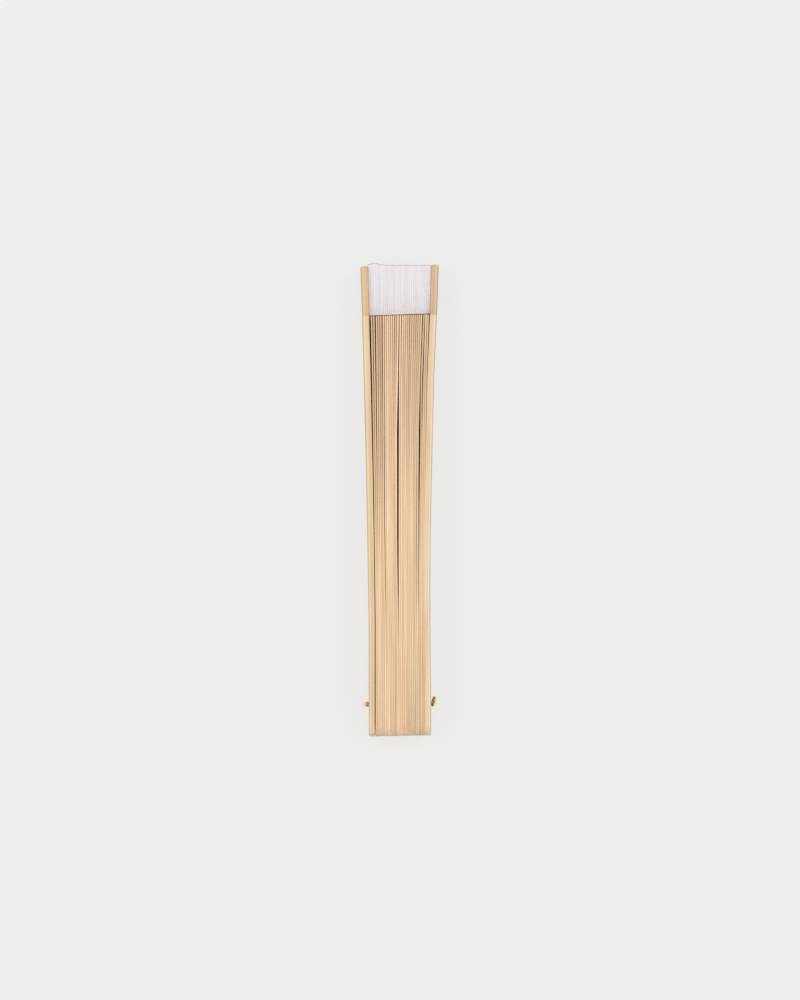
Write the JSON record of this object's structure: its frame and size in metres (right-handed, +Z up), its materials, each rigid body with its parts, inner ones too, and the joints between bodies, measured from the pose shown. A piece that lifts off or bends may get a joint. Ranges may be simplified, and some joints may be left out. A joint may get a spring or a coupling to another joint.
{
  "type": "folding fan",
  "caption": "Closed wooden folding fan: thin ribs between thicker guards turn on a brass pin and carry a short pleated white leaf at their tips.",
  "frame": {"origin": "the middle of the closed fan's outline, on the surface that the fan lies on with its sticks on edge", "axes": "+X along the pin, from the guard at the head of the pin to the guard at its eye; +Y along the closed fan, from the tails to the leaf; +Z up, across the width of the sticks"},
  "size_m": [0.0382, 0.23, 0.021],
  "materials": {
    "guard_wood": "pale bare wood, smoothly sanded",
    "rib_wood": "pale bare wood, sawn and lightly sanded",
    "leaf_cloth": "white, matte, finely woven, pressed into pleats",
    "brass": "yellow brass wire, polished"
  },
  "bodies": {
    "guard_left": {"guard_left": "guard_wood", "pivot_pin": "brass", "leaf_pleat_01": "leaf_cloth"},
    "rib_01": {"rib_01": "rib_wood", "leaf_pleat_02": "leaf_cloth"},
    "rib_02": {"rib_02": "rib_wood", "leaf_pleat_03": "leaf_cloth"},
    "rib_03": {"rib_03": "rib_wood", "leaf_pleat_04": "leaf_cloth"},
    "rib_04": {"rib_04": "rib_wood", "leaf_pleat_05": "leaf_cloth"},
    "rib_05": {"rib_05": "rib_wood", "leaf_pleat_06": "leaf_cloth"},
    "rib_06": {"rib_06": "rib_wood", "leaf_pleat_07": "leaf_cloth"},
    "rib_07": {"rib_07": "rib_wood", "leaf_pleat_08": "leaf_cloth"},
    "rib_08": {"rib_08": "rib_wood", "leaf_pleat_09": "leaf_cloth"},
    "rib_09": {"rib_09": "rib_wood", "leaf_pleat_10": "leaf_cloth"},
    "rib_10": {"rib_10": "rib_wood", "leaf_pleat_11": "leaf_cloth"},
    "rib_11": {"rib_11": "rib_wood", "leaf_pleat_12": "leaf_cloth"},
    "rib_12": {"rib_12": "rib_wood", "leaf_pleat_13": "leaf_cloth"},
    "rib_13": {"rib_13": "rib_wood", "leaf_pleat_14": "leaf_cloth"},
    "rib_14": {"rib_14": "rib_wood", "leaf_pleat_15": "leaf_cloth"},
    "rib_15": {"rib_15": "rib_wood", "leaf_pleat_16": "leaf_cloth"},
    "rib_16": {"rib_16": "rib_wood", "leaf_pleat_17": "leaf_cloth"},
    "rib_17": {"rib_17": "rib_wood", "leaf_pleat_18": "leaf_cloth"},
    "rib_18": {"rib_18": "rib_wood", "leaf_pleat_19": "leaf_cloth"},
    "rib_19": {"rib_19": "rib_wood", "leaf_pleat_20": "leaf_cloth"},
    "rib_20": {"rib_20": "rib_wood", "leaf_pleat_21": "leaf_cloth"},
    "rib_21": {"rib_21": "rib_wood", "leaf_pleat_22": "leaf_cloth"},
    "rib_22": {"rib_22": "rib_wood", "leaf_pleat_23": "leaf_cloth"},
    "rib_23": {"rib_23": "rib_wood", "leaf_pleat_24": "leaf_cloth"},
    "rib_24": {"rib_24": "rib_wood", "leaf_pleat_25": "leaf_cloth"},
    "rib_25": {"rib_25": "rib_wood", "leaf_pleat_26": "leaf_cloth"},
    "rib_26": {"rib_26": "rib_wood", "leaf_pleat_27": "leaf_cloth"},
    "rib_27": {"rib_27": "rib_wood", "leaf_pleat_28": "leaf_cloth"},
    "guard_right": {"guard_right": "guard_wood", "leaf_end": "leaf_cloth"}
  },
  "joints": [
    {"name": "rib_01_turn", "type": "hinge", "parent": "guard_left", "child": "rib_01", "pos_m": [0, -0.0992, 0.0105], "axis": [1, 0, 0], "range_deg": [0, 6], "deforming": ["leaf_pleat_01"]},
    {"name": "rib_02_turn", "type": "hinge", "parent": "guard_left", "child": "rib_02", "pos_m": [0, -0.0992, 0.0105], "axis": [1, 0, 0], "range_deg": [0, 12], "deforming": ["leaf_pleat_02"]},
    {"name": "rib_03_turn", "type": "hinge", "parent": "guard_left", "child": "rib_03", "pos_m": [0, -0.0992, 0.0105], "axis": [1, 0, 0], "range_deg": [0, 18], "deforming": ["leaf_pleat_03"]},
    {"name": "rib_04_turn", "type": "hinge", "parent": "guard_left", "child": "rib_04", "pos_m": [0, -0.0992, 0.0105], "axis": [1, 0, 0], "range_deg": [0, 24], "deforming": ["leaf_pleat_04"]},
    {"name": "rib_05_turn", "type": "hinge", "parent": "guard_left", "child": "rib_05", "pos_m": [0, -0.0992, 0.0105], "axis": [1, 0, 0], "range_deg": [0, 30], "deforming": ["leaf_pleat_05"]},
    {"name": "rib_06_turn", "type": "hinge", "parent": "guard_left", "child": "rib_06", "pos_m": [0, -0.0992, 0.0105], "axis": [1, 0, 0], "range_deg": [0, 36], "deforming": ["leaf_pleat_06"]},
    {"name": "rib_07_turn", "type": "hinge", "parent": "guard_left", "child": "rib_07", "pos_m": [0, -0.0992, 0.0105], "axis": [1, 0, 0], "range_deg": [0, 42], "deforming": ["leaf_pleat_07"]},
    {"name": "rib_08_turn", "type": "hinge", "parent": "guard_left", "child": "rib_08", "pos_m": [0, -0.0992, 0.0105], "axis": [1, 0, 0], "range_deg": [0, 48], "deforming": ["leaf_pleat_08"]},
    {"name": "rib_09_turn", "type": "hinge", "parent": "guard_left", "child": "rib_09", "pos_m": [0, -0.0992, 0.0105], "axis": [1, 0, 0], "range_deg": [0, 54], "deforming": ["leaf_pleat_09"]},
    {"name": "rib_10_turn", "type": "hinge", "parent": "guard_left", "child": "rib_10", "pos_m": [0, -0.0992, 0.0105], "axis": [1, 0, 0], "range_deg": [0, 60], "deforming": ["leaf_pleat_10"]},
    {"name": "rib_11_turn", "type": "hinge", "parent": "guard_left", "child": "rib_11", "pos_m": [0, -0.0992, 0.0105], "axis": [1, 0, 0], "range_deg": [0, 66], "deforming": ["leaf_pleat_11"]},
    {"name": "rib_12_turn", "type": "hinge", "parent": "guard_left", "child": "rib_12", "pos_m": [0, -0.0992, 0.0105], "axis": [1, 0, 0], "range_deg": [0, 72], "deforming": ["leaf_pleat_12"]},
    {"name": "rib_13_turn", "type": "hinge", "parent": "guard_left", "child": "rib_13", "pos_m": [0, -0.0992, 0.0105], "axis": [1, 0, 0], "range_deg": [0, 78], "deforming": ["leaf_pleat_13"]},
    {"name": "rib_14_turn", "type": "hinge", "parent": "guard_left", "child": "rib_14", "pos_m": [0, -0.0992, 0.0105], "axis": [1, 0, 0], "range_deg": [0, 84], "deforming": ["leaf_pleat_14"]},
    {"name": "rib_15_turn", "type": "hinge", "parent": "guard_left", "child": "rib_15", "pos_m": [0, -0.0992, 0.0105], "axis": [1, 0, 0], "range_deg": [0, 90], "deforming": ["leaf_pleat_15"]},
    {"name": "rib_16_turn", "type": "hinge", "parent": "guard_left", "child": "rib_16", "pos_m": [0, -0.0992, 0.0105], "axis": [1, 0, 0], "range_deg": [0, 96], "deforming": ["leaf_pleat_16"]},
    {"name": "rib_17_turn", "type": "hinge", "parent": "guard_left", "child": "rib_17", "pos_m": [0, -0.0992, 0.0105], "axis": [1, 0, 0], "range_deg": [0, 102], "deforming": ["leaf_pleat_17"]},
    {"name": "rib_18_turn", "type": "hinge", "parent": "guard_left", "child": "rib_18", "pos_m": [0, -0.0992, 0.0105], "axis": [1, 0, 0], "range_deg": [0, 108], "deforming": ["leaf_pleat_18"]},
    {"name": "rib_19_turn", "type": "hinge", "parent": "guard_left", "child": "rib_19", "pos_m": [0, -0.0992, 0.0105], "axis": [1, 0, 0], "range_deg": [0, 114], "deforming": ["leaf_pleat_19"]},
    {"name": "rib_20_turn", "type": "hinge", "parent": "guard_left", "child": "rib_20", "pos_m": [0, -0.0992, 0.0105], "axis": [1, 0, 0], "range_deg": [0, 120], "deforming": ["leaf_pleat_20"]},
    {"name": "rib_21_turn", "type": "hinge", "parent": "guard_left", "child": "rib_21", "pos_m": [0, -0.0992, 0.0105], "axis": [1, 0, 0], "range_deg": [0, 126], "deforming": ["leaf_pleat_21"]},
    {"name": "rib_22_turn", "type": "hinge", "parent": "guard_left", "child": "rib_22", "pos_m": [0, -0.0992, 0.0105], "axis": [1, 0, 0], "range_deg": [0, 132], "deforming": ["leaf_pleat_22"]},
    {"name": "rib_23_turn", "type": "hinge", "parent": "guard_left", "child": "rib_23", "pos_m": [0, -0.0992, 0.0105], "axis": [1, 0, 0], "range_deg": [0, 138], "deforming": ["leaf_pleat_23"]},
    {"name": "rib_24_turn", "type": "hinge", "parent": "guard_left", "child": "rib_24", "pos_m": [0, -0.0992, 0.0105], "axis": [1, 0, 0], "range_deg": [0, 144], "deforming": ["leaf_pleat_24"]},
    {"name": "rib_25_turn", "type": "hinge", "parent": "guard_left", "child": "rib_25", "pos_m": [0, -0.0992, 0.0105], "axis": [1, 0, 0], "range_deg": [0, 150], "deforming": ["leaf_pleat_25"]},
    {"name": "rib_26_turn", "type": "hinge", "parent": "guard_left", "child": "rib_26", "pos_m": [0, -0.0992, 0.0105], "axis": [1, 0, 0], "range_deg": [0, 156], "deforming": ["leaf_pleat_26"]},
    {"name": "rib_27_turn", "type": "hinge", "parent": "guard_left", "child": "rib_27", "pos_m": [0, -0.0992, 0.0105], "axis": [1, 0, 0], "range_deg": [0, 162], "deforming": ["leaf_pleat_27"]},
    {"name": "fan_open", "type": "hinge", "parent": "guard_left", "child": "guard_right", "pos_m": [0, -0.0992, 0.0105], "axis": [1, 0, 0], "range_deg": [0, 168], "deforming": ["leaf_pleat_28"]}
  ],
  "couplings": [
    {"joint": "rib_01_turn", "follows": "fan_open", "ratio": 0.035714},
    {"joint": "rib_02_turn", "follows": "fan_open", "ratio": 0.071429},
    {"joint": "rib_03_turn", "follows": "fan_open", "ratio": 0.10714},
    {"joint": "rib_04_turn", "follows": "fan_open", "ratio": 0.14286},
    {"joint": "rib_05_turn", "follows": "fan_open", "ratio": 0.17857},
    {"joint": "rib_06_turn", "follows": "fan_open", "ratio": 0.21429},
    {"joint": "rib_07_turn", "follows": "fan_open", "ratio": 0.25},
    {"joint": "rib_08_turn", "follows": "fan_open", "ratio": 0.28571},
    {"joint": "rib_09_turn", "follows": "fan_open", "ratio": 0.32143},
    {"joint": "rib_10_turn", "follows": "fan_open", "ratio": 0.35714},
    {"joint": "rib_11_turn", "follows": "fan_open", "ratio": 0.39286},
    {"joint": "rib_12_turn", "follows": "fan_open", "ratio": 0.42857},
    {"joint": "rib_13_turn", "follows": "fan_open", "ratio": 0.46429},
    {"joint": "rib_14_turn", "follows": "fan_open", "ratio": 0.5},
    {"joint": "rib_15_turn", "follows": "fan_open", "ratio": 0.53571},
    {"joint": "rib_16_turn", "follows": "fan_open", "ratio": 0.57143},
    {"joint": "rib_17_turn", "follows": "fan_open", "ratio": 0.60714},
    {"joint": "rib_18_turn", "follows": "fan_open", "ratio": 0.64286},
    {"joint": "rib_19_turn", "follows": "fan_open", "ratio": 0.67857},
    {"joint": "rib_20_turn", "follows": "fan_open", "ratio": 0.71429},
    {"joint": "rib_21_turn", "follows": "fan_open", "ratio": 0.75},
    {"joint": "rib_22_turn", "follows": "fan_open", "ratio": 0.78571},
    {"joint": "rib_23_turn", "follows": "fan_open", "ratio": 0.82143},
    {"joint": "rib_24_turn", "follows": "fan_open", "ratio": 0.85714},
    {"joint": "rib_25_turn", "follows": "fan_open", "ratio": 0.89286},
    {"joint": "rib_26_turn", "follows": "fan_open", "ratio": 0.92857},
    {"joint": "rib_27_turn", "follows": "fan_open", "ratio": 0.96429}
  ]
}
